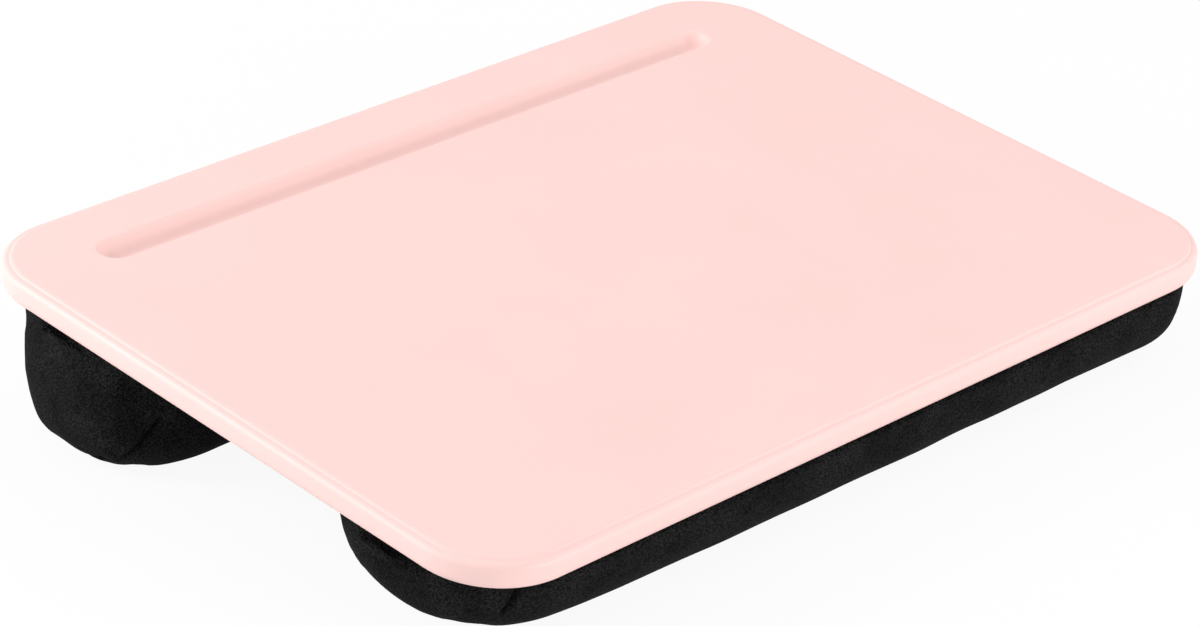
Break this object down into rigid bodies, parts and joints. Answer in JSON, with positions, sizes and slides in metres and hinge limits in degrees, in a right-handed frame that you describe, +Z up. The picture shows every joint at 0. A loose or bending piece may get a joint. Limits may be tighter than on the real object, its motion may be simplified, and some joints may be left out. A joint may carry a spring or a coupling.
{
  "type": "lap desk",
  "caption": "Lap desk: a stepped, round-cornered moulded panel with a pen groove along its back edge, leaning on a deep rear and a low front stuffed cloth bolster.",
  "frame": {"origin": "on the floor, under the middle of the object's box, in its rest pose with the panel leaning back edge up", "axes": "+X along the front edge to the right of someone who uses it, +Y towards the back edge with the pen groove, +Z up"},
  "size_m": [0.375, 0.273, 0.0701],
  "materials": {
    "panel": "soft matt moulded plastic, pale pink",
    "board": "bare hardboard",
    "cloth": "short-napped black polyester cloth",
    "filling": "loose light beads",
    "screws": "zinc plated"
  },
  "bodies": {
    "root": {"top_shell": "panel", "base_board": "board", "base_cloth": "cloth", "rear_bolster_wrap": "cloth", "rear_bolster_left_end": "cloth", "rear_bolster_right_end": "cloth", "rear_bolster_fill": "filling", "front_bolster_wrap": "cloth", "front_bolster_left_end": "cloth", "front_bolster_right_end": "cloth", "front_bolster_fill": "filling", "board_screw_01": "screws", "board_screw_02": "screws", "board_screw_03": "screws", "board_screw_04": "screws", "board_screw_05": "screws", "board_screw_06": "screws", "board_screw_07": "screws", "board_screw_08": "screws", "board_screw_09": "screws", "board_screw_10": "screws"}
  },
  "joints": []
}
